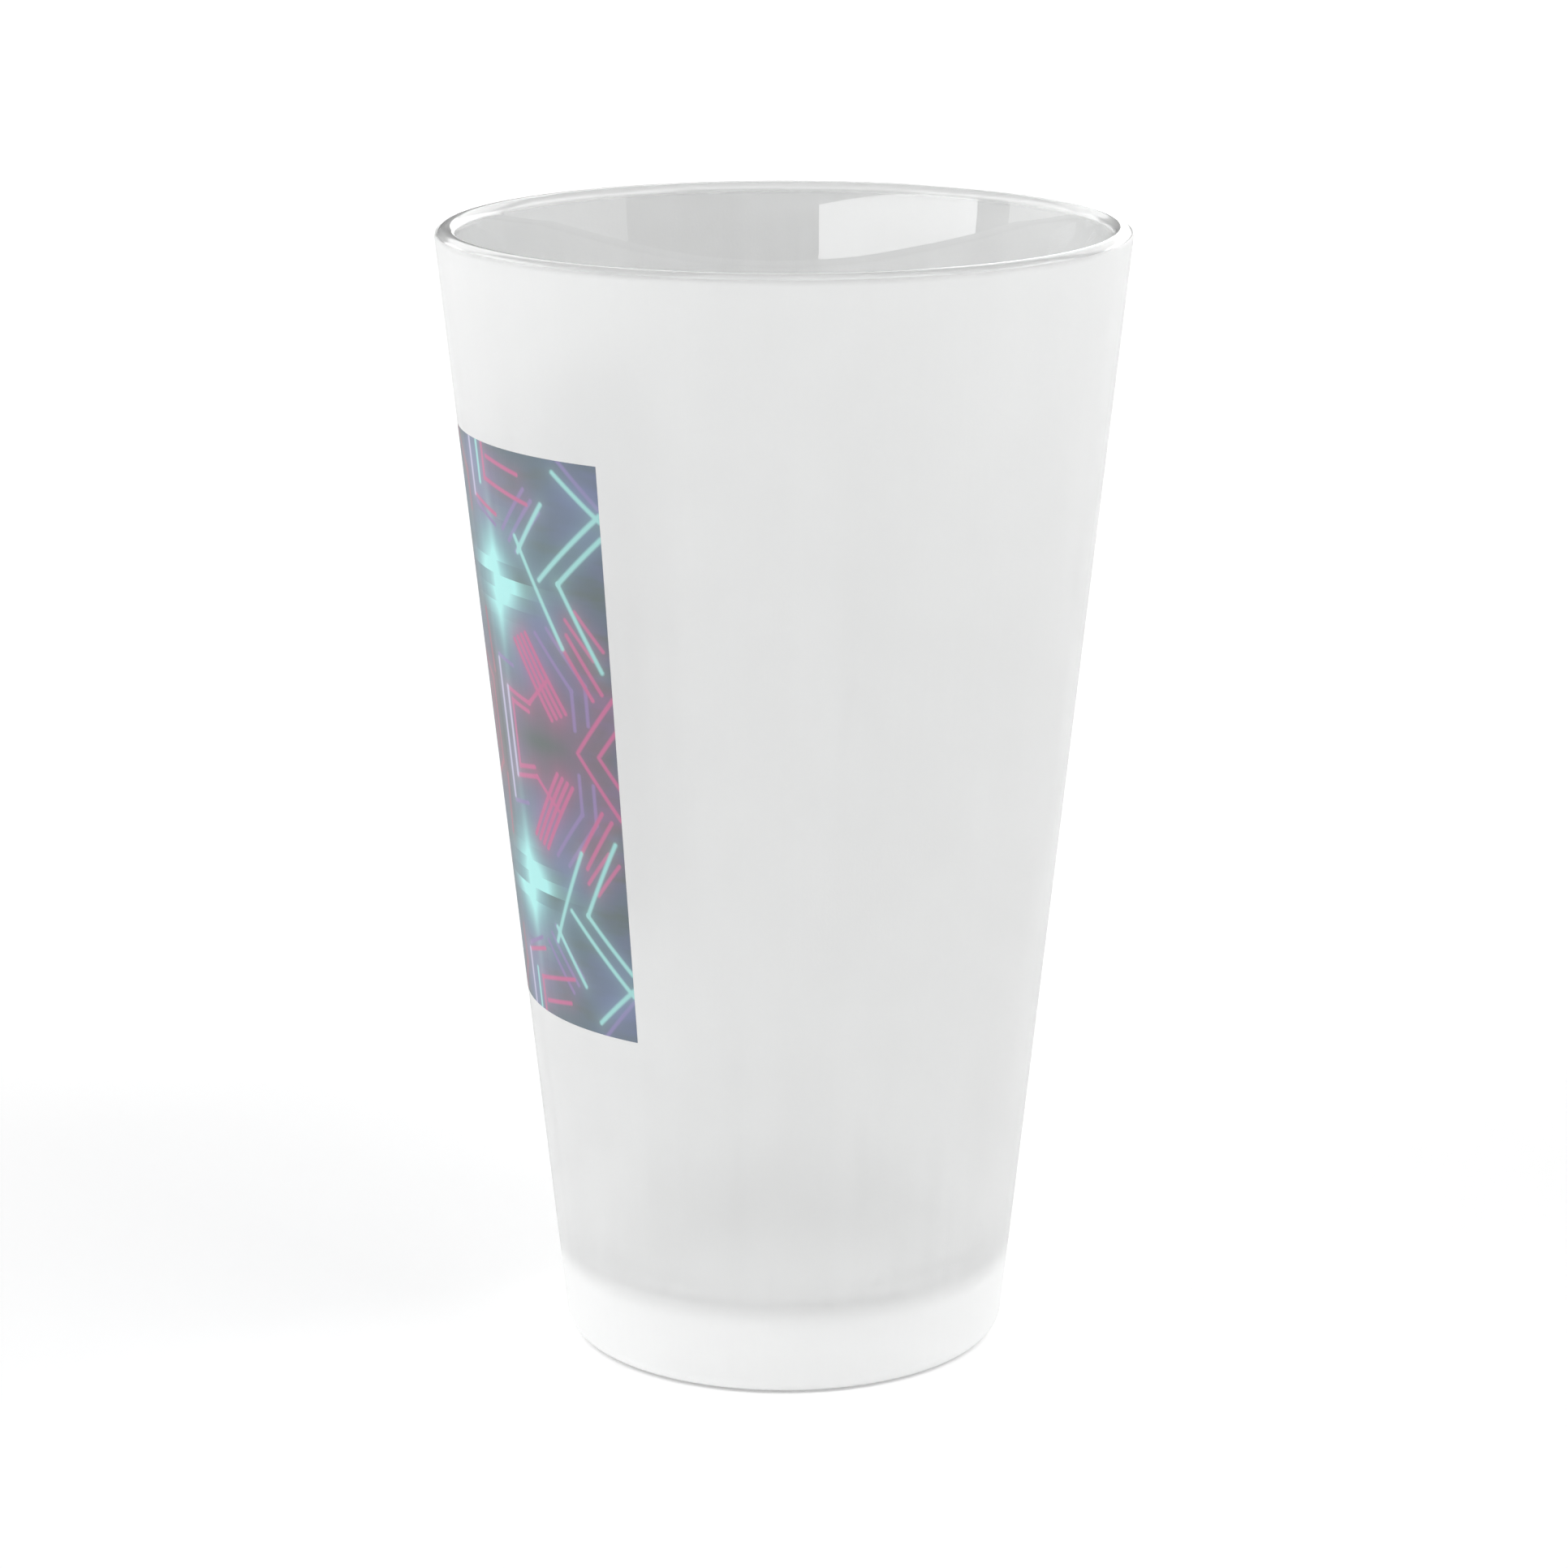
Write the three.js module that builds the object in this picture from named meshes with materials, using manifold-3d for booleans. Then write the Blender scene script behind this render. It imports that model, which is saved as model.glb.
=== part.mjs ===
// A 16 oz frosted pint glass: one pressed glass tumbler, the frosted coating on the outside of its
// wall, and the printed panel, which is the stretch of that coating that holds the dye.
// Millimetres, +Z up. The origin is the middle of the foot, on the surface that the glass stands on,
// and the printed panel faces -Y.
import * as THREE from "three";
import { mergeVertices } from "three/addons/utils/BufferGeometryUtils.js";
import Module from "manifold-3d";

// ---- Driving dimensions ------------------------------------------------------------------------
const HEIGHT = 149.2; // foot to the top of the lip
const RIM_RADIUS = 44.85; // of the glass, where its outer wall would meet the plane of the lip
const FOOT_RADIUS = 29.1; // of the glass, where its outer wall would meet the plane of the foot
const LIP_THICKNESS = 2.6; // across the fire-polished lip, which is a full round
const FLOOR_THICKNESS = 10.8; // foot plane to inner floor
const WALL_AT_FLOOR = 6.74; // from the outer wall level in to the inner wall, at the inner floor
const CORNER_FILLET = 5; // inner floor to inner wall
const HEEL_FILLET = 2.5; // foot to outer wall
const FOOT_RING_WIDTH = 3.9; // flat ring that the glass stands on
const PUNT_HEIGHT = 1.5; // of the shallow dome pressed into the underside

const COATING = 0.15; // thickness of the frosted coating
const COATING_ROUND_HEEL = THREE.MathUtils.degToRad(60); // how far it reaches round the heel
const COATING_ONTO_LIP = THREE.MathUtils.degToRad(25); // how far it reaches onto the lip's round

const PRINT_WIDTH = 76.2; // along the wall, at the panel's mid-height
const PRINT_HEIGHT = 76.2; // straight up
const PRINT_RAISE = 11.5; // of the panel's mid-height above the glass's mid-height

// ---- How finely the round shapes are divided -----------------------------------------------------
const TURN_STEPS = 96; // around the glass
const FILLET_STEPS = 6;
const LIP_STEPS = 5; // on each side of the lip's top
const PUNT_STEPS = 6;

// ---- Sizes that follow from the driving ones -----------------------------------------------------
const lipRadius = LIP_THICKNESS / 2;
const lipHeight = HEIGHT - lipRadius; // of the middle of the lip's round
const wallLean = Math.atan2(RIM_RADIUS - FOOT_RADIUS, HEIGHT); // outer wall from upright

// Radius of the outer wall at a height, less an inset square to the wall.
function outerWall(height, inset) {
  return FOOT_RADIUS + height * Math.tan(wallLean) - inset / Math.cos(wallLean);
}

const lipMiddle = new THREE.Vector2(outerWall(lipHeight, lipRadius), lipHeight);
const heelMiddle = new THREE.Vector2(outerWall(HEEL_FILLET, HEEL_FILLET), HEEL_FILLET);

// The inner wall runs from the edge of the inner floor to touch the lip's round on its inside.
const floorRadius = outerWall(FLOOR_THICKNESS, 0) - WALL_AT_FLOOR;
const floorToLip = lipMiddle.clone().sub(new THREE.Vector2(floorRadius, FLOOR_THICKNESS));
const innerLean =
  Math.atan2(floorToLip.x, floorToLip.y) - Math.asin(lipRadius / floorToLip.length());
const cornerMiddle = new THREE.Vector2(
  floorRadius - (CORNER_FILLET * (1 - Math.sin(innerLean))) / Math.cos(innerLean),
  FLOOR_THICKNESS + CORNER_FILLET,
);

// ---- Profiles: x is the radius and y the height --------------------------------------------------
// Points along an arc about a middle, from one angle to another, both ends included.
function arc(middle, radius, from, to, steps) {
  return Array.from({ length: steps + 1 }, (_, i) => {
    const angle = from + ((to - from) * i) / steps;
    return new THREE.Vector2(
      middle.x + radius * Math.cos(angle),
      middle.y + radius * Math.sin(angle),
    );
  });
}

// The line that the coating lies on, from the heel up to the lip, or one outside it by an offset.
function coatedLine(offset) {
  return [
    ...arc(heelMiddle, HEEL_FILLET + offset, -COATING_ROUND_HEEL, -wallLean, FILLET_STEPS),
    ...arc(lipMiddle, lipRadius + offset, -wallLean, COATING_ONTO_LIP, FILLET_STEPS),
  ];
}

// The dome in the underside, from its middle to the inner edge of the foot ring.
function puntLine() {
  const edge = heelMiddle.x - FOOT_RING_WIDTH;
  const radius = (edge * edge + PUNT_HEIGHT * PUNT_HEIGHT) / (2 * PUNT_HEIGHT);
  const middle = new THREE.Vector2(0, PUNT_HEIGHT - radius);
  const spread = Math.asin(edge / radius);
  return arc(middle, radius, Math.PI / 2, Math.PI / 2 - spread, PUNT_STEPS);
}

// The whole glass: underside, heel, outer wall, over the lip, down the inner wall and back to the
// axis along the inner floor.
function glassProfile() {
  const quarter = Math.PI / 2;
  const heel = arc(heelMiddle, HEEL_FILLET, -quarter, -COATING_ROUND_HEEL, FILLET_STEPS);
  const lipOutside = arc(lipMiddle, lipRadius, COATING_ONTO_LIP, quarter, LIP_STEPS);
  const lipInside = arc(lipMiddle, lipRadius, quarter, Math.PI - innerLean, LIP_STEPS);
  const corner = arc(cornerMiddle, CORNER_FILLET, -innerLean, -quarter, FILLET_STEPS);
  const profile = [
    ...puntLine(),
    ...heel.slice(0, -1),
    ...coatedLine(0),
    ...lipOutside.slice(1),
    ...lipInside.slice(1),
    ...corner,
    new THREE.Vector2(0, FLOOR_THICKNESS),
  ];
  profile[0].x = 0; // the dome's middle, free of rounding, so that the profile starts on the axis
  return profile;
}

// A thin closed ring of coating that shares the glass's own line on its inside.
function coatingProfile() {
  const profile = [...coatedLine(COATING), ...coatedLine(0).reverse()];
  return [...profile, profile[0].clone()];
}

// ---- Solids ---------------------------------------------------------------------------------------
const manifold = await Module();
manifold.setup();

// A profile turned about the Z axis.
function turned(profile) {
  return new THREE.LatheGeometry(profile, TURN_STEPS).rotateX(Math.PI / 2);
}

function solidOf(geometry) {
  const bare = geometry.clone().deleteAttribute("normal").deleteAttribute("uv");
  const merged = mergeVertices(bare);
  return new manifold.Manifold(
    new manifold.Mesh({
      numProp: 3,
      vertProperties: merged.getAttribute("position").array,
      triVerts: new Uint32Array(merged.index.array),
    }),
  );
}

function geometryOf(solid) {
  const made = solid.getMesh();
  const geometry = new THREE.BufferGeometry();
  geometry.setAttribute("position", new THREE.BufferAttribute(made.vertProperties, 3));
  geometry.setIndex(new THREE.BufferAttribute(made.triVerts, 1));
  geometry.computeVertexNormals();
  return geometry;
}

// The block that cuts the printed panel out of the coating: a slice of a pie with its point on the
// axis, centred on -Y, as wide in angle as the print and as tall.
function printBlock() {
  const middle = HEIGHT / 2 + PRINT_RAISE;
  const middleRadius = outerWall(middle, -COATING);
  const half = PRINT_WIDTH / 2 / middleRadius;
  const reach = 2 * RIM_RADIUS;
  const front = -Math.PI / 2;
  const slice = new THREE.Shape().moveTo(0, 0);
  slice.lineTo(reach * Math.cos(front - half), reach * Math.sin(front - half));
  slice.absarc(0, 0, reach, front - half, front + half, false);
  slice.closePath();
  const settings = { depth: PRINT_HEIGHT, bevelEnabled: false, curveSegments: TURN_STEPS };
  const block = new THREE.ExtrudeGeometry(slice, settings);
  return block.translate(0, 0, middle - PRINT_HEIGHT / 2);
}

// ---- Materials --------------------------------------------------------------------------------------
const materials = {
  glass: new THREE.MeshStandardMaterial({
    color: 0xeef4f2,
    roughness: 0.05,
    metalness: 0,
    transparent: true,
    opacity: 0.35,
  }),
  frost: new THREE.MeshStandardMaterial({
    color: 0xe3e6e5,
    roughness: 0.55,
    metalness: 0,
    transparent: true,
    opacity: 0.7,
  }),
  print: new THREE.MeshStandardMaterial({ color: 0x838a9c, roughness: 0.55, metalness: 0 }),
};

function piece(name, geometry, material) {
  const mesh = new THREE.Mesh(geometry, material);
  mesh.name = name;
  return mesh;
}

// ---- The glass ----------------------------------------------------------------------------------------
const coatingShell = solidOf(turned(coatingProfile()));
const block = solidOf(printBlock());

const pintGlass = new THREE.Group();
pintGlass.name = "pint_glass";
pintGlass.add(
  piece("glass_body", turned(glassProfile()), materials.glass),
  piece("frosted_coating", geometryOf(coatingShell.subtract(block)), materials.frost),
  piece("printed_panel", geometryOf(coatingShell.intersect(block)), materials.print),
);

export default pintGlass;
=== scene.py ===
"""A frosted pint glass on a plain white studio floor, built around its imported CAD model.

The CAD part gives the sizes and the places. This script makes the fine surfaces that show: a clear
pressed tumbler, the frosted coating bonded to the outside of its wall, and the printed film, which is
the stretch of that coating that holds the dye. Metres, +Z up, print facing -Y.
"""

import math

import bmesh
import bpy
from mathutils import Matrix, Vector


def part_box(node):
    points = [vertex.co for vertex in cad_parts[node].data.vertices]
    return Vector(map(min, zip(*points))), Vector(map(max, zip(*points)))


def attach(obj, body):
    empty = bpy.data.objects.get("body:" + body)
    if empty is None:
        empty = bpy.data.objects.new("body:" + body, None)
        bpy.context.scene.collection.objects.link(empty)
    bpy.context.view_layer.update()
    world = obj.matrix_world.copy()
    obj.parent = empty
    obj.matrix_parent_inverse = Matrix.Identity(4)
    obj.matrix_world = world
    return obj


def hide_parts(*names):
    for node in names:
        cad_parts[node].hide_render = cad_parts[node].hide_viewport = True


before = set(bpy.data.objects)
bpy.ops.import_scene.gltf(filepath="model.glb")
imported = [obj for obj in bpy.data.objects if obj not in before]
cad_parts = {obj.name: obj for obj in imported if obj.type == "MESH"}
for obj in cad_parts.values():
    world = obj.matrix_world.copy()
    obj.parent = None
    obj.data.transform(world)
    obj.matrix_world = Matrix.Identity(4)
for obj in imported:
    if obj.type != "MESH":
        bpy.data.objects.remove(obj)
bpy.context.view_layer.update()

# ---- Sizes: the CAD part's own, in metres --------------------------------------------------------
MM = 0.001
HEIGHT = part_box("glass_body")[1].z
RIM_RADIUS = 44.85 * MM  # where the outer wall would meet the plane of the lip
FOOT_RADIUS = 29.1 * MM  # where the outer wall would meet the plane of the foot
LIP_RADIUS = 1.3 * MM
FLOOR_THICKNESS = 10.8 * MM
WALL_AT_FLOOR = 6.74 * MM
CORNER_FILLET = 5 * MM
HEEL_FILLET = 2.5 * MM
FOOT_RING_WIDTH = 3.9 * MM
PUNT_HEIGHT = 1.5 * MM
COATING = 0.15 * MM
COATING_ROUND_HEEL = math.radians(60)
COATING_ONTO_LIP = math.radians(25)
PRINT_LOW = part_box("printed_panel")[0].z
PRINT_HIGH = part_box("printed_panel")[1].z
PRINT_WIDTH = 76.2 * MM

# ---- How finely the surfaces are divided ---------------------------------------------------------
TURN_STEPS = 256
WALL_STEP = 2.5 * MM
ARC_STEPS = 12
ARC_MARGIN = 1.5 * MM  # the straight wall's end rows stay this far from the middles of its arcs

# ---- Camera --------------------------------------------------------------------------------------
CAMERA_DISTANCE = 0.5982  # level, from the glass's axis
CAMERA_HEIGHT = 0.2308  # above the floor
CAMERA_PITCH = math.radians(14.618)  # down from level
CAMERA_LENS = 107.08  # mm
SENSOR_WIDTH = 36  # mm
CLIP_START = 0.01


# ---- Profiles: each point is (radius, height) ----------------------------------------------------
WALL_LEAN = math.atan2(RIM_RADIUS - FOOT_RADIUS, HEIGHT)


def outer_wall(height, inset=0.0):
    """Radius of the outer wall at a height, less an inset square to the wall."""
    return FOOT_RADIUS + height * math.tan(WALL_LEAN) - inset / math.cos(WALL_LEAN)


LIP_HEIGHT = HEIGHT - LIP_RADIUS
LIP_MIDDLE = Vector((outer_wall(LIP_HEIGHT, LIP_RADIUS), LIP_HEIGHT))
HEEL_MIDDLE = Vector((outer_wall(HEEL_FILLET, HEEL_FILLET), HEEL_FILLET))
FLOOR_EDGE = Vector((outer_wall(FLOOR_THICKNESS) - WALL_AT_FLOOR, FLOOR_THICKNESS))
FLOOR_TO_LIP = LIP_MIDDLE - FLOOR_EDGE
INNER_LEAN = math.atan2(FLOOR_TO_LIP.x, FLOOR_TO_LIP.y) - math.asin(LIP_RADIUS / FLOOR_TO_LIP.length)
CORNER_MIDDLE = FLOOR_EDGE + CORNER_FILLET * Vector(
    ((math.sin(INNER_LEAN) - 1) / math.cos(INNER_LEAN), 1)
)


def arc(middle, radius, start, end, steps=ARC_STEPS):
    """Points along an arc about a middle, both ends included."""
    angles = [start + (end - start) * i / steps for i in range(steps + 1)]
    return [middle + radius * Vector((math.cos(a), math.sin(a))) for a in angles]


def between(a, b, step):
    """Points along a straight stretch, without its ends."""
    count = max(1, round((b - a).length / step))
    return [a.lerp(b, i / count) for i in range(1, count)]


def wall_heights():
    """Heights of the rows on the straight wall, with a row on each edge of the print."""
    stops = [HEEL_MIDDLE.y + ARC_MARGIN, PRINT_LOW, PRINT_HIGH, LIP_MIDDLE.y - ARC_MARGIN]
    heights = [stops[0]]
    for low, high in zip(stops, stops[1:]):
        count = round((high - low) / WALL_STEP)
        heights += [low + (high - low) * i / count for i in range(1, count + 1)]
    return heights


def coated_line(offset):
    """The outer wall's line that the coating lies on, or one outside it by an offset."""
    heel = arc(HEEL_MIDDLE, HEEL_FILLET + offset, -COATING_ROUND_HEEL, -WALL_LEAN)
    lip = arc(LIP_MIDDLE, LIP_RADIUS + offset, -WALL_LEAN, COATING_ONTO_LIP)
    wall = [Vector((outer_wall(z, -offset), z)) for z in wall_heights()]
    return heel + wall + lip


def tumbler_profile():
    """The whole glass, from the underside's middle to the inner floor's, and its coated stretch."""
    ring_edge = HEEL_MIDDLE.x - FOOT_RING_WIDTH
    dome_radius = (ring_edge**2 + PUNT_HEIGHT**2) / (2 * PUNT_HEIGHT)
    dome_spread = math.asin(ring_edge / dome_radius)
    quarter = math.pi / 2
    dome = arc(Vector((0, PUNT_HEIGHT - dome_radius)), dome_radius, quarter, quarter - dome_spread)
    heel = arc(HEEL_MIDDLE, HEEL_FILLET, -quarter, -COATING_ROUND_HEEL)[:-1]
    coated = coated_line(0)
    lip = arc(LIP_MIDDLE, LIP_RADIUS, COATING_ONTO_LIP, math.pi - INNER_LEAN, 2 * ARC_STEPS)[1:]
    corner = arc(CORNER_MIDDLE, CORNER_FILLET, -INNER_LEAN, -quarter)
    inner_wall = between(lip[-1], corner[0], WALL_STEP)
    floor_middle = Vector((0, FLOOR_THICKNESS))
    inner_floor = between(corner[-1], floor_middle, 2 * WALL_STEP)
    dome[0].x = 0
    before = dome + heel
    profile = before + coated + lip + inner_wall + corner + inner_floor + [floor_middle]
    return profile, range(len(before), len(before) + len(coated) - 1)


# ---- Columns: the angles about Z at which a profile is repeated ----------------------------------
PRINT_FRONT = -math.pi / 2
PRINT_HALF = PRINT_WIDTH / 2 / outer_wall((PRINT_LOW + PRINT_HIGH) / 2, -COATING)


def turn_angles():
    """Even steps round the glass, with the nearest one moved onto each upright edge of the print."""
    step = 2 * math.pi / TURN_STEPS
    angles = [i * step for i in range(TURN_STEPS)]
    for edge in (PRINT_FRONT - PRINT_HALF, PRINT_FRONT + PRINT_HALF):
        angles[round(edge / step) % TURN_STEPS] = edge % (2 * math.pi)
    return angles


COLUMNS = turn_angles()


def at(point, angle):
    """A profile point turned to an angle."""
    return (point.x * math.cos(angle), point.x * math.sin(angle), point.y)


# ---- Meshes --------------------------------------------------------------------------------------
def finished(name, bm, materials):
    """A smooth-shaded object from a bmesh whose sharp edges are marked already."""
    bmesh.ops.recalc_face_normals(bm, faces=bm.faces)
    for face in bm.faces:
        face.smooth = True
    mesh = bpy.data.meshes.new(name)
    bm.to_mesh(mesh)
    bm.free()
    for material in materials:
        mesh.materials.append(material)
    piece = bpy.data.objects.new(name, mesh)
    bpy.context.scene.collection.objects.link(piece)
    return piece


def turned_solid(name, profile, bonded, materials):
    """A profile with both ends on the axis, turned about Z. Its bonded stretch has material two."""
    bm = bmesh.new()
    first = bm.verts.new(at(profile[0], 0))
    last = bm.verts.new(at(profile[-1], 0))
    rings = [[bm.verts.new(at(p, a)) for a in COLUMNS] for p in profile[1:-1]]
    for i in range(TURN_STEPS):
        j = (i + 1) % TURN_STEPS
        bm.faces.new((first, rings[0][i], rings[0][j]))
        bm.faces.new((last, rings[-1][j], rings[-1][i]))
        for row, (low, high) in enumerate(zip(rings, rings[1:]), start=1):
            face = bm.faces.new((low[i], low[j], high[j], high[i]))
            face.material_index = 1 if row in bonded else 0
    return finished(name, bm, materials)


def in_print(row_low, row_high, angle_low, angle_high):
    """Whether a cell of the coating lies in the printed square."""
    middle_height = (row_low.y + row_high.y) / 2
    middle_angle = (angle_low + angle_high) / 2
    away = (middle_angle - PRINT_FRONT + math.pi) % (2 * math.pi) - math.pi
    return PRINT_LOW < middle_height < PRINT_HIGH and abs(away) < PRINT_HALF


def bonded_shell(name, holds, materials):
    """The coating's cells that holds() picks, as a closed shell. Its inside has material two."""
    inside = coated_line(0)
    outside = coated_line(COATING)
    rows = len(outside) - 1

    def kept(r, c):
        if not 0 <= r < rows:
            return False
        step_end = COLUMNS[c % TURN_STEPS] + 2 * math.pi / TURN_STEPS
        return holds(outside[r], outside[r + 1], COLUMNS[c % TURN_STEPS], step_end)

    bm = bmesh.new()
    made = {}

    def corner(line, r, c):
        key = (line is outside, r, c % TURN_STEPS)
        if key not in made:
            made[key] = bm.verts.new(at(line[r], COLUMNS[c % TURN_STEPS]))
        return made[key]

    def edge_wall(a, b):
        """A narrow wall between the shell's two sides, from grid point a to grid point b."""
        outer_edge = (corner(outside, *b), corner(outside, *a))
        inner_edge = (corner(inside, *a), corner(inside, *b))
        face = bm.faces.new(outer_edge + inner_edge)
        for edge in face.edges:
            edge.smooth = False

    for r in range(rows):
        for c in range(TURN_STEPS):
            if not kept(r, c):
                continue
            around = [(r, c), (r, c + 1), (r + 1, c + 1), (r + 1, c)]
            bm.faces.new([corner(outside, *p) for p in around])
            bm.faces.new([corner(inside, *p) for p in reversed(around)]).material_index = 1
            for (dr, dc), a, b in (
                ((-1, 0), around[0], around[1]),
                ((0, 1), around[1], around[2]),
                ((1, 0), around[2], around[3]),
                ((0, -1), around[3], around[0]),
            ):
                if not kept(r + dr, c + dc):
                    edge_wall(a, b)
    return finished(name, bm, materials)


# ---- Materials -----------------------------------------------------------------------------------
# Clearness is how much of a layer lets light through, the rest of it being milky.
GLASS_COLOUR = (0.988, 0.995, 0.992, 1)
GLASS_IOR = 1.52
GLASS_SPECULAR = 0.75
LIP_CLEARNESS = 0.42
LIP_HAZE_LOW = LIP_HEIGHT - 0.3 * MM
LIP_HAZE_HIGH = LIP_HEIGHT + 0.5 * MM
LIP_HAZE_ROUGHNESS = 0.08
COATING_IOR = 1.5
FROST_CLEARNESS = 0.4
CLEARNESS_VARIES = 0.03  # to either side of the frost's own
LIP_FEATHER = 0.4  # how much clearer the frost is at the top of the lip
FOOT_CLEARNESS = 0.15  # the coating is heavier round the foot
FOOT_LOW = FLOOR_THICKNESS - 1 * MM  # it thins from here
FOOT_HIGH = FLOOR_THICKNESS + 2 * MM  # to here
FROST_ROUGHNESS = (0.34, 0.44)
FROST_COLOURS = ((0.907, 0.912, 0.909, 1), (0.933, 0.937, 0.935, 1))
PRINT_CLEARNESS = 0.12
PRINT_ROUGHNESS = (0.42, 0.52)
PALE = (0.9, 0.9, 0.9, 1)
PALER_INSIDE = 0.85  # how far the print turns pale where it is seen from the glass's inside

# How many features a noise has in a metre, and the range that most of its values lie in
WAVES = 45
WIPES = 220
MOTTLES = 130
GRAINS = 3500
NOISE_RANGE = (0.35, 0.65)
STREAKS = 26  # for each radian of the way round the wall
STREAKS_UPWARDS = (0, 0, 0.5)  # they change little from the foot to the lip


class Nodes:
    """A small helper that builds the node tree of a material, a world or a node group."""

    def __init__(self, owner):
        if isinstance(owner, bpy.types.NodeTree):
            self.tree = owner
            return
        owner.use_nodes = True
        self.material = owner
        self.tree = owner.node_tree
        self.shader = self.tree.nodes.get("Principled BSDF")

    def set(self, **sockets):
        """Sets the shader's own sockets, named with underscores for spaces."""
        for name, value in sockets.items():
            self.shader.inputs[name.replace("_", " ")].default_value = value

    def give(self, node, inputs):
        """Links or sets a node's inputs."""
        for name, value in dict(inputs).items():
            if isinstance(value, bpy.types.NodeSocket):
                self.tree.links.new(value, node.inputs[name])
            else:
                node.inputs[name].default_value = value

    def add(self, kind, inputs=(), **settings):
        node = self.tree.nodes.new(kind)
        for name, value in settings.items():
            setattr(node, name, value)
        self.give(node, inputs)
        return node

    def link(self, output, name):
        self.tree.links.new(output, self.shader.inputs[name])

    def math(self, operation, a, b=0.0, c=0.0):
        return self.add("ShaderNodeMath", {0: a, 1: b, 2: c}, operation=operation).outputs[0]

    def held(self, value):
        """A value held between 0 and 1."""
        return self.add("ShaderNodeClamp", {"Value": value}).outputs[0]

    def vector(self, operation, a, b=(0, 0, 0), output="Vector"):
        return self.add("ShaderNodeVectorMath", {0: a, 1: b}, operation=operation).outputs[output]

    def span(self, value, low, high, start=0.0, end=1.0):
        """A value taken from one range to another, held at its ends."""
        ranges = {"From Min": start, "From Max": end, "To Min": low, "To Max": high}
        return self.add("ShaderNodeMapRange", {"Value": value, **ranges}).outputs["Result"]

    def blend(self, amount, a, b):
        """Two colours mixed."""
        return self.add("ShaderNodeMix", {0: amount, 6: a, 7: b}, data_type="RGBA").outputs[2]

    def noise(self, place, scale, detail=2.0):
        inputs = {"Vector": place, "Scale": scale, "Detail": detail}
        return self.add("ShaderNodeTexNoise", inputs).outputs["Fac"]

    def bump(self, height, strength, distance, normal=None):
        inputs = {"Height": height, "Strength": strength, "Distance": distance}
        if normal:
            inputs["Normal"] = normal
        return self.add("ShaderNodeBump", inputs).outputs["Normal"]

    def place(self):
        return self.add("ShaderNodeTexCoord").outputs["Object"]


def new_nodes(name):
    return Nodes(bpy.data.materials.new(name))


def bonded_face():
    """Where one layer lies on the next with no air between them, light passes straight on."""
    nodes = new_nodes("bonded_face")
    nodes.set(Alpha=0.0)
    return nodes.material


def clear_glass():
    """Pressed soda-lime glass, faintly green and wavy, with a haze of stray coating on its lip."""
    nodes = new_nodes("clear_glass")
    nodes.set(Base_Color=GLASS_COLOUR, IOR=GLASS_IOR, Specular_IOR_Level=GLASS_SPECULAR)
    waves = nodes.noise(nodes.place(), WAVES, detail=1.0)
    nodes.link(nodes.bump(waves, 0.03, 1.0 * MM), "Normal")
    height = nodes.add("ShaderNodeSeparateXYZ", {0: nodes.place()}).outputs["Z"]
    haze = nodes.span(height, 0.0, 1.0, LIP_HAZE_LOW, LIP_HAZE_HIGH)
    nodes.link(nodes.span(haze, 1.0, LIP_CLEARNESS), "Transmission Weight")
    wipes = nodes.span(nodes.noise(nodes.place(), WIPES, detail=4.0), 0.006, 0.02)
    nodes.link(nodes.math("MULTIPLY_ADD", haze, LIP_HAZE_ROUGHNESS, wipes), "Roughness")
    return nodes.material


def frost_surface(nodes, low, high):
    """Roughness and bump of the sprayed coating: mottling, faint upright streaks and a fine grain."""
    place = nodes.place()
    around = nodes.vector("NORMALIZE", nodes.vector("MULTIPLY", place, (1, 1, 0)))
    streak_place = nodes.vector("ADD", around, nodes.vector("MULTIPLY", place, STREAKS_UPWARDS))
    streaks = nodes.noise(streak_place, STREAKS, detail=3.0)
    mottling = nodes.noise(place, MOTTLES, detail=3.0)
    uneven = nodes.math("MULTIPLY_ADD", streaks, 0.6, nodes.math("MULTIPLY", mottling, 0.4))
    nodes.link(nodes.span(uneven, low, high, *NOISE_RANGE), "Roughness")
    grain = nodes.bump(nodes.noise(place, GRAINS, detail=2.0), 0.3, 0.04 * MM)
    nodes.link(nodes.bump(streaks, 0.15, 0.1 * MM, grain), "Normal")
    return uneven


def frosted():
    """The coating: milky, rough, thinner where it feathers out on the lip and heavier at the foot."""
    nodes = new_nodes("frosted_coating")
    nodes.set(IOR=COATING_IOR)
    uneven = frost_surface(nodes, *FROST_ROUGHNESS)
    height = nodes.add("ShaderNodeSeparateXYZ", {0: nodes.place()}).outputs["Z"]
    at_lip = nodes.span(height, 0.0, LIP_FEATHER, LIP_HEIGHT, HEIGHT)
    least = FROST_CLEARNESS - CLEARNESS_VARIES
    most = FROST_CLEARNESS + CLEARNESS_VARIES
    clearness = nodes.span(uneven, least, most, *NOISE_RANGE)
    foot = nodes.span(height, FOOT_CLEARNESS / FROST_CLEARNESS, 1.0, FOOT_LOW, FOOT_HIGH)
    nodes.link(nodes.math("MULTIPLY_ADD", clearness, foot, at_lip), "Transmission Weight")
    nodes.link(nodes.blend(uneven, *FROST_COLOURS), "Base Color")
    return nodes.material


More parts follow.
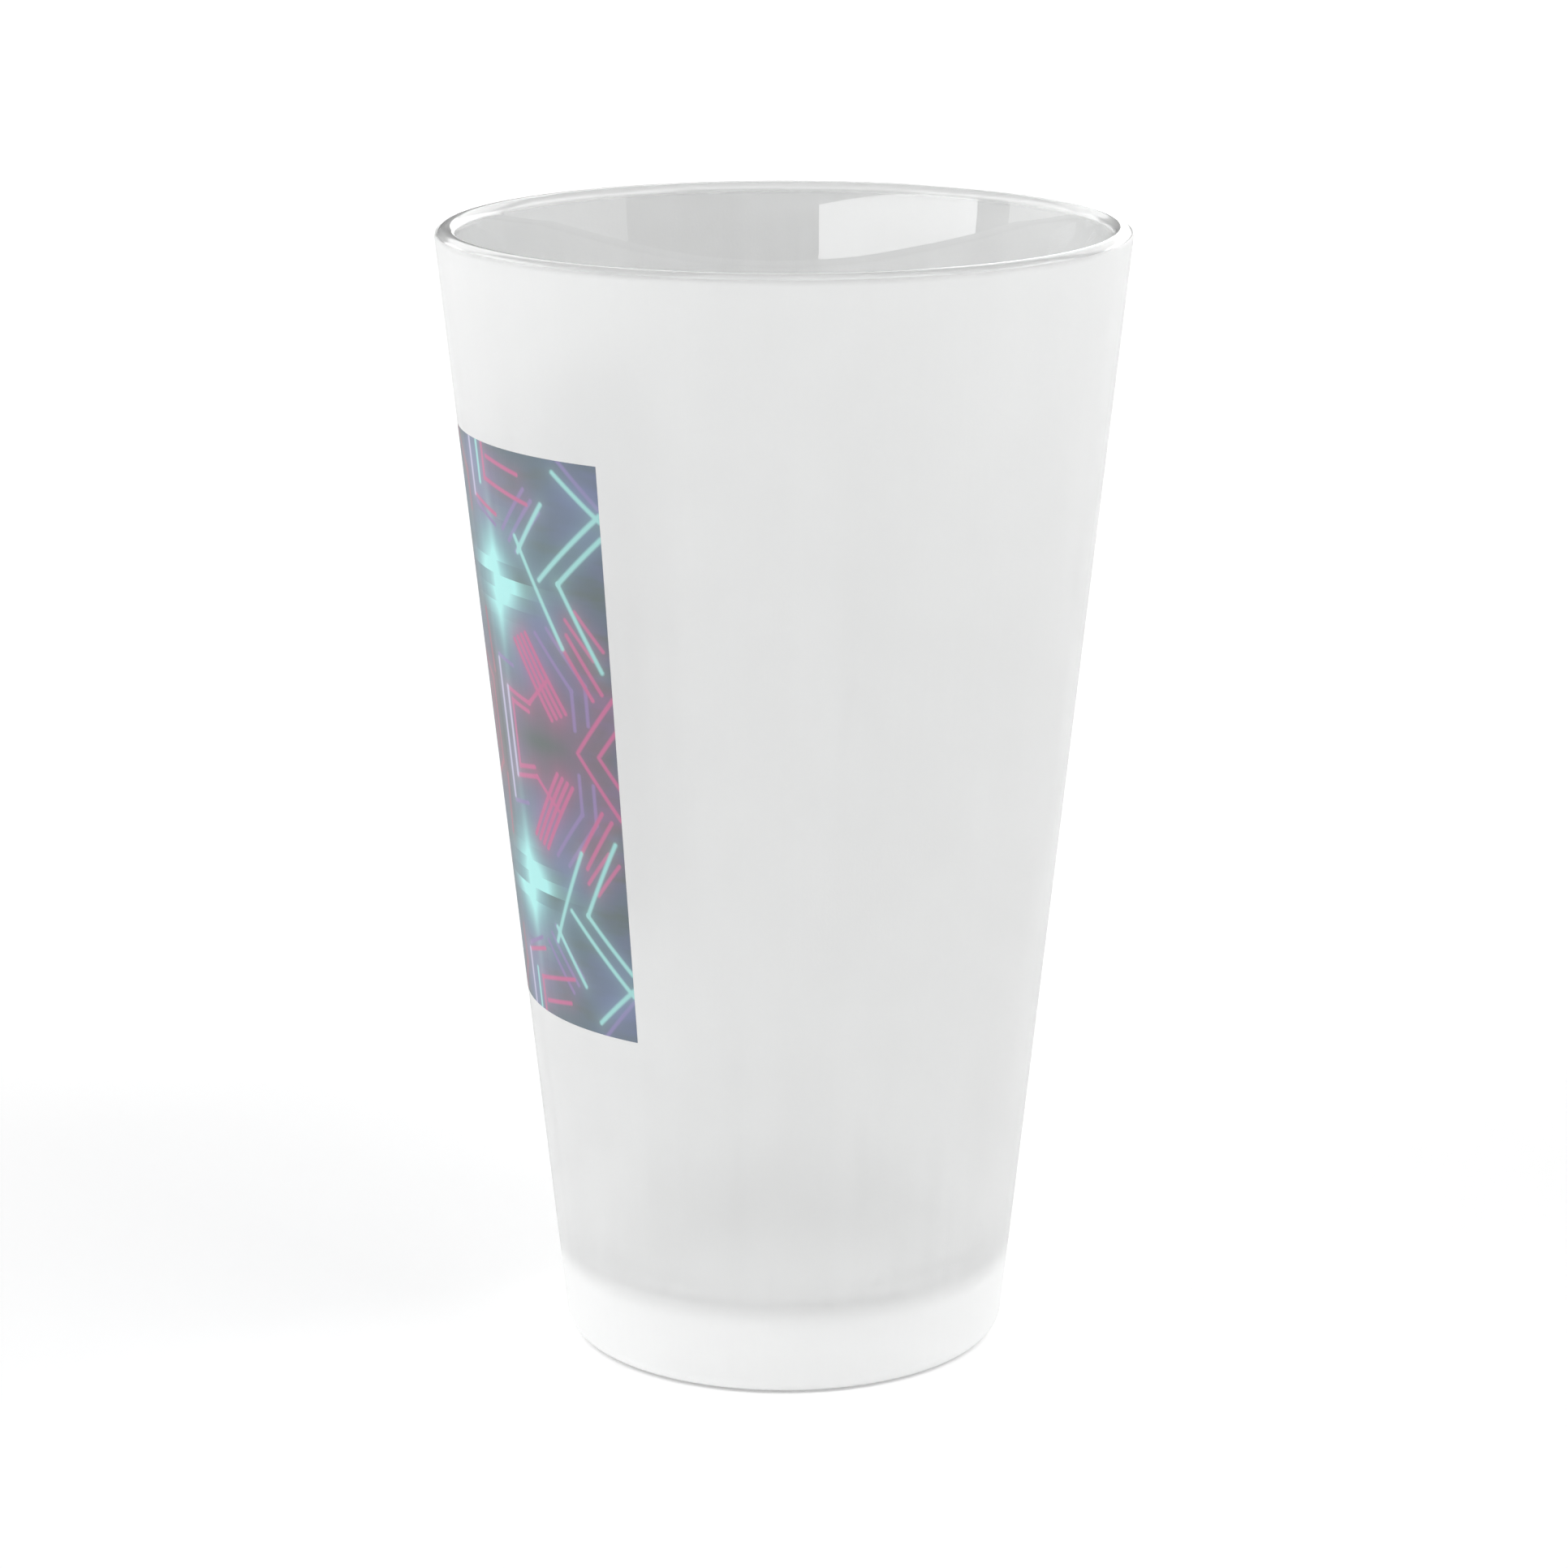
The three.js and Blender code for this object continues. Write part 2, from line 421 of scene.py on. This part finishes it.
# ---- The print: a generic pattern of neon strokes, in millimetres from the panel's middle --------
# The pattern is drawn in one quarter of the panel and mirrored left to right and top to bottom.
PRINT_MIDDLE = (PRINT_LOW + PRINT_HIGH) / 2
PRINT_RADIUS = outer_wall(PRINT_MIDDLE, -COATING)
GROUND = (0.12, 0.165, 0.192, 1)
DARK = (0.116, 0.152, 0.144, 1)
HAZE = (0.137, 0.162, 0.235, 1)
BLUE = (0.19, 0.23, 0.42, 1)
TEAL = (0.17, 0.3, 0.36, 1)
WINE = (0.165, 0.14, 0.172, 1)
GLOW = (0.4, 0.82, 0.8, 1)
CYAN = (0.34, 0.66, 0.64, 1)
PINK = (0.52, 0.15, 0.29, 1)
RED = (0.37, 0.145, 0.19, 1)
LILAC = (0.52, 0.5, 0.66, 1)
VIOLET = (0.25, 0.215, 0.41, 1)
GLOW_MIDDLE = (17.0, 20.0)
CORE_LIGHT = 0.8  # of a stroke's own line
HALO_LIGHT = 0.2  # of the glow round it, where it starts
SLAB_HEIGHT = 1.9
SLAB_SHIFT = 3.0

# Tint, middle, spread across and up, and strength of each soft patch on the ground
PATCHES = (
    (TEAL, GLOW_MIDDLE, (9.0, 13.0), 0.9),
    (BLUE, (24.0, 10.0), (4.5, 4.5), 0.7),
    (BLUE, (14.0, 34.0), (4.5, 5.0), 0.55),
    (BLUE, (35.0, 33.0), (5.0, 6.0), 0.5),
    (BLUE, (28.5, 17.5), (5.0, 4.0), 0.35),
    (WINE, (27.0, 2.0), (9.0, 6.5), 0.75),
    (WINE, (8.0, 4.0), (4.0, 9.0), 0.6),
    (DARK, (23.5, 20.5), (2.6, 2.4), 0.8),
    (DARK, (24.0, 0.0), (5.0, 1.6), 0.9),
    (DARK, (12.2, 3.0), (1.2, 9.0), 0.7),
)


def side_by_side(line, step, count):
    """Copies of a polyline, each shifted by the same step."""
    return [[(x + i * step[0], y + i * step[1]) for x, y in line] for i in range(count)]


# Colour, width, how far the glow reaches, and the polylines
STROKES = (
    (VIOLET, 0.3, 1.2, side_by_side([(20.5, 27.5), (26.0, 33.5)], (1.3, -1.3), 3)),
    (VIOLET, 0.3, 1.2, side_by_side([(25.5, 14.8), (31.5, 8.2), (31.5, 3.0)], (2.4, 1.0), 2)),
    (VIOLET, 0.3, 1.4, [
        [(32.5, 38.1), (38.1, 32.5)],
        [(13.2, 29.6), (18.5, 27.6)],
        [(14.5, 9.8), (19.0, 9.2)],
    ]),
    (RED, 0.34, 1.5, [
        [(5.4, 8.2), (9.9, 5.6), (9.9, 0.0)],
        [(7.4, 4.2), (7.4, 0.0)],
        [(10.6, 15.0), (11.6, 7.0)],
    ]),
    (RED, 0.3, 1.4, [
        [(5.6, 38.1), (9.6, 33.0), (9.6, 28.0)],
        [(0.0, 15.0), (4.0, 20.0), (1.0, 27.0)],
    ]),
    (PINK, 0.3, 1.3, side_by_side([(20.4, 13.0), (27.2, 3.6)], (0.95, 0.45), 4)),
    (PINK, 0.3, 1.2, [
        [(17.7, 0.0), (17.7, 4.4), (22.0, 3.7)],
        [(16.5, 5.9), (22.4, 4.9), (26.8, 8.6)],
    ]),
    (PINK, 0.3, 1.2, [
        [(12.6, 30.6), (19.0, 29.0)],
        [(16.9, 38.1), (16.9, 33.4), (26.4, 31.6)],
        [(18.0, 36.4), (25.0, 35.2)],
    ]),
    (PINK, 0.3, 1.2, [
        *side_by_side([(38.1, 8.0), (31.6, 0.0)], (3.6, 0.0), 2),
        *side_by_side([(30.0, 14.5), (35.0, 7.5)], (1.5, 1.0), 2),
    ]),
    (PINK, 0.28, 1.1, [[(31.5, 17.5), (35.6, 12.8)], [(33.2, 18.8), (37.2, 14.2)]]),
    (LILAC, 0.34, 1.0, [
        [(14.4, 0.0), (14.4, 9.2)],
        [(16.5, 0.0), (16.5, 5.9)],
        [(12.6, 38.1), (12.6, 30.6)],
    ]),
    (CYAN, 0.34, 0.9, [[(15.2, 38.1), (15.2, 32.6)], [(31.5, 36.5), (38.1, 31.0)]]),
    (CYAN, 0.34, 0.9, [[(29.0, 32.0), (23.5, 25.0)], [(23.2, 27.0), (30.6, 13.6)]]),
    (CYAN, 0.34, 0.9, [[(38.1, 31.8), (27.4, 22.0)], [(38.1, 28.8), (30.8, 22.0), (36.8, 11.4)]]),
)


def stroke_group():
    """A node group that says how bright a glowing stroke from Start to End is at a point."""
    tree = bpy.data.node_groups.new("neon_stroke", "ShaderNodeTree")
    kinds = {"Point": "Vector", "Start": "Vector", "End": "Vector", "Width": "Float", "Halo": "Float"}
    for name, kind in kinds.items():
        tree.interface.new_socket(name, in_out="INPUT", socket_type="NodeSocket" + kind)
    tree.interface.new_socket("Light", in_out="OUTPUT", socket_type="NodeSocketFloat")
    nodes = Nodes(tree)
    given = nodes.add("NodeGroupInput").outputs
    along = nodes.vector("SUBTRACT", given["End"], given["Start"])
    away = nodes.vector("SUBTRACT", given["Point"], given["Start"])
    reach = nodes.vector("DOT_PRODUCT", away, along, "Value")
    whole = nodes.vector("DOT_PRODUCT", along, along, "Value")
    part = nodes.held(nodes.math("DIVIDE", reach, whole))
    nearest = nodes.add("ShaderNodeVectorMath", {0: along, "Scale": part}, operation="SCALE")
    distance = nodes.vector("DISTANCE", away, nearest.outputs["Vector"], "Value")
    core = nodes.span(nodes.math("DIVIDE", distance, given["Width"]), CORE_LIGHT, 0.0, 0.5, 1.4)
    outwards = nodes.math("DIVIDE", distance, given["Halo"])
    halo = nodes.math("EXPONENT", nodes.math("MULTIPLY", outwards, -1.0))
    nodes.add("NodeGroupOutput", {"Light": nodes.math("MULTIPLY_ADD", halo, HALO_LIGHT, core)})
    return tree


def stroke_light(nodes, group, point, width, halo, lines):
    """The summed light of some polylines."""
    total = 0.0
    for line in lines:
        for start, end in zip(line, line[1:]):
            stroke = nodes.add("ShaderNodeGroup", node_tree=group)
            nodes.give(stroke, {"Point": point, "Start": (*start, 0), "End": (*end, 0)})
            nodes.give(stroke, {"Width": width, "Halo": halo})
            total = nodes.math("ADD", stroke.outputs["Light"], total)
    return nodes.held(total)


def panel_point(nodes):
    """Millimetres along and up the wall from the panel's middle, folded into one quarter."""
    xyz = nodes.add("ShaderNodeSeparateXYZ", {0: nodes.place()}).outputs
    angle = nodes.math("ARCTAN2", xyz["X"], nodes.math("MULTIPLY", xyz["Y"], -1.0))
    across = nodes.math("MULTIPLY", angle, PRINT_RADIUS / MM)
    up = nodes.math("MULTIPLY_ADD", xyz["Z"], 1 / MM, -PRINT_MIDDLE / MM)
    folded = {"X": nodes.math("ABSOLUTE", across), "Y": nodes.math("ABSOLUTE", up)}
    return nodes.add("ShaderNodeCombineXYZ", folded).outputs[0]


def soft_spot(nodes, point, middle, spread, strength):
    """A soft patch that is brightest at its middle and fades by its spread across and up."""
    offset = nodes.vector("SUBTRACT", point, (*middle, 0))
    scaled = nodes.vector("DIVIDE", offset, (*spread, 1))
    fall = nodes.vector("DOT_PRODUCT", scaled, scaled, "Value")
    return nodes.math("MULTIPLY", nodes.math("EXPONENT", nodes.math("MULTIPLY", fall, -1.0)), strength)


def sheared_point(nodes, point):
    """The point moved sideways in bands, which breaks the glows into offset slabs."""
    bands = nodes.vector("SNAP", point, (100, SLAB_HEIGHT, 1))
    shift = nodes.span(nodes.noise(bands, 0.3, detail=1.0), -SLAB_SHIFT, SLAB_SHIFT, 0.3, 0.7)
    return nodes.vector("ADD", point, nodes.add("ShaderNodeCombineXYZ", {"X": shift}).outputs[0])


def slate_ground(nodes, point):
    """The print's mottled slate ground, with soft patches of other tints."""
    colour = nodes.blend(nodes.span(nodes.noise(point, 0.09), 0.0, 1.0, 0.42, 0.62), GROUND, HAZE)
    smears = nodes.noise(nodes.vector("MULTIPLY", point, (0.1, 0.35, 1)), 1.0)
    colour = nodes.blend(nodes.span(smears, 0.0, 0.9, 0.48, 0.66), colour, DARK)
    for tint, middle, spread, strength in PATCHES:
        colour = nodes.blend(soft_spot(nodes, point, middle, spread, strength), colour, tint)
    return colour


def star_glow(nodes, point):
    """How bright the glow behind the strokes is: a burst with wings, in slabs, and an upright spike."""
    slabs = sheared_point(nodes, point)
    burst = soft_spot(nodes, slabs, GLOW_MIDDLE, (3.4, 5.6), 1.1)
    wings = soft_spot(nodes, slabs, GLOW_MIDDLE, (6.5, 3.0), 0.4)
    spike = soft_spot(nodes, point, GLOW_MIDDLE, (1.0, 11.0), 0.35)
    return nodes.held(nodes.math("ADD", nodes.math("ADD", burst, wings), spike))


def printed():
    """The dyed stretch of the coating, which shows paler from the glass's inside."""
    nodes = new_nodes("printed_film")
    nodes.set(Transmission_Weight=PRINT_CLEARNESS, IOR=COATING_IOR)
    frost_surface(nodes, *PRINT_ROUGHNESS)
    point = panel_point(nodes)
    colour = slate_ground(nodes, point)
    colour = nodes.blend(star_glow(nodes, point), colour, GLOW)
    group = stroke_group()
    for tint, width, halo, lines in STROKES:
        colour = nodes.blend(stroke_light(nodes, group, point, width, halo, lines), colour, tint)
    inside = nodes.add("ShaderNodeNewGeometry").outputs["Backfacing"]
    paler = nodes.math("MULTIPLY", inside, PALER_INSIDE)
    nodes.link(nodes.blend(paler, colour, PALE), "Base Color")
    return nodes.material


# ---- The glass -----------------------------------------------------------------------------------
def make_glass():
    bonded = bonded_face()
    profile, coated = tumbler_profile()
    tumbler = turned_solid("clear_tumbler", profile, coated, [clear_glass(), bonded])
    frost = bonded_shell("frosted_skin", lambda *cell: not in_print(*cell), [frosted(), bonded])
    film = bonded_shell("printed_film", in_print, [printed(), bonded])
    for piece, node, slot in (
        (tumbler, "glass_body", "glass"),
        (frost, "frosted_coating", "frost"),
        (film, "printed_panel", "print"),
    ):
        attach(piece, "root")
        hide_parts(node)


# ---- Studio --------------------------------------------------------------------------------------
SOFTBOX_DISTANCE = 3.2
POWER_PER_AREA = 4  # of a softbox whose radiance is 1, in watts for each square metre
WORLD_FILL = 0.08  # how bright it is between the softboxes
BACKDROP = 1.02  # what the camera sees past the floor
FLOOR_FILL = 0.25
LIGHT_BOUNCES = 24
STRAIGHT_PASSES = 32  # through bonded faces
FLOOR_RADIUS = 3.0  # the floor ends before the softboxes, where it would turn dark
FLOOR_GAP = 0.2 * MM  # keeps the foot ring and the floor from lying in one plane
# Name, degrees round from +X, width in degrees, degrees up to its lower and upper edges, radiance
SOFTBOXES = (
    ("right_low", 90, 60, 0.5, 18, 1.1),
    ("right_high", 80, 75, 18, 42, 1.95),
    ("right_back", 150, 56, 0.5, 18, 2.3),
    ("back_high", 180, 90, 18, 42, 1.25),
    ("left_back", 240, 60, 0.5, 18, 1.5),
    ("left_high", 270, 80, 18, 42, 1.7),
    ("front_left_high", 325, 70, 30, 60, 0.9),
    ("front_right_high", 35, 70, 42, 62, 1.5),
    ("window", 316, 62, 5.4, 12.5, 3.6),
)


def make_camera():
    data = bpy.data.cameras.new("camera")
    data.lens = CAMERA_LENS
    data.sensor_width = SENSOR_WIDTH
    data.clip_start = CLIP_START
    camera = bpy.data.objects.new("camera", data)
    camera.location = (CAMERA_DISTANCE, 0, CAMERA_HEIGHT)
    camera.rotation_euler = (math.pi / 2 - CAMERA_PITCH, 0, math.pi / 2)
    bpy.context.scene.collection.objects.link(camera)
    bpy.context.scene.camera = camera


def make_floor():
    """A wide pale floor that gives off a little light of its own, so that shadows on it stay faint."""
    bm = bmesh.new()
    bmesh.ops.create_circle(bm, cap_ends=True, segments=TURN_STEPS, radius=FLOOR_RADIUS)
    mesh = bpy.data.meshes.new("floor")
    bm.to_mesh(mesh)
    bm.free()
    floor = bpy.data.objects.new("floor", mesh)
    floor.location.z = -FLOOR_GAP
    nodes = new_nodes("floor")
    nodes.set(Base_Color=PALE, Roughness=1.0, Specular_IOR_Level=0.0)
    nodes.set(Emission_Color=(1, 1, 1, 1), Emission_Strength=FLOOR_FILL)
    mesh.materials.append(nodes.material)
    bpy.context.scene.collection.objects.link(floor)


def make_world():
    """A dim even fill, which the camera sees as a white backdrop."""
    world = bpy.data.worlds.new("studio")
    bpy.context.scene.world = world
    nodes = Nodes(world)
    backdrop = nodes.tree.nodes["Background"]
    seen = nodes.add("ShaderNodeLightPath").outputs["Is Camera Ray"]
    nodes.tree.links.new(nodes.span(seen, WORLD_FILL, BACKDROP), backdrop.inputs["Strength"])
    backdrop.inputs["Color"].default_value = (1, 1, 1, 1)


def make_softbox(name, azimuth, width, low, high, radiance):
    """An upright rectangular light that faces the glass's axis and that the camera doesn't see."""
    azimuth, width, low, high = (math.radians(a) for a in (azimuth, width, low, high))
    bottom, top = (SOFTBOX_DISTANCE * math.tan(a) for a in (low, high))
    data = bpy.data.lights.new(name, "AREA")
    data.shape = "RECTANGLE"
    data.size = 2 * SOFTBOX_DISTANCE * math.tan(width / 2)
    data.size_y = top - bottom
    data.energy = POWER_PER_AREA * data.size * data.size_y * radiance
    light = bpy.data.objects.new(name, data)
    out = Vector((math.cos(azimuth), math.sin(azimuth), 0))
    light.location = out * SOFTBOX_DISTANCE + Vector((0, 0, (bottom + top) / 2))
    light.rotation_euler = out.to_track_quat("Z", "Y").to_euler()
    light.visible_camera = False
    bpy.context.scene.collection.objects.link(light)


make_camera()
make_glass()
make_floor()
make_world()
for softbox in SOFTBOXES:
    make_softbox(*softbox)
bpy.context.scene.view_settings.view_transform = "Standard"
bpy.context.scene.cycles.transparent_max_bounces = STRAIGHT_PASSES
bpy.context.scene.cycles.max_bounces = LIGHT_BOUNCES
bpy.context.scene.cycles.transmission_bounces = LIGHT_BOUNCES
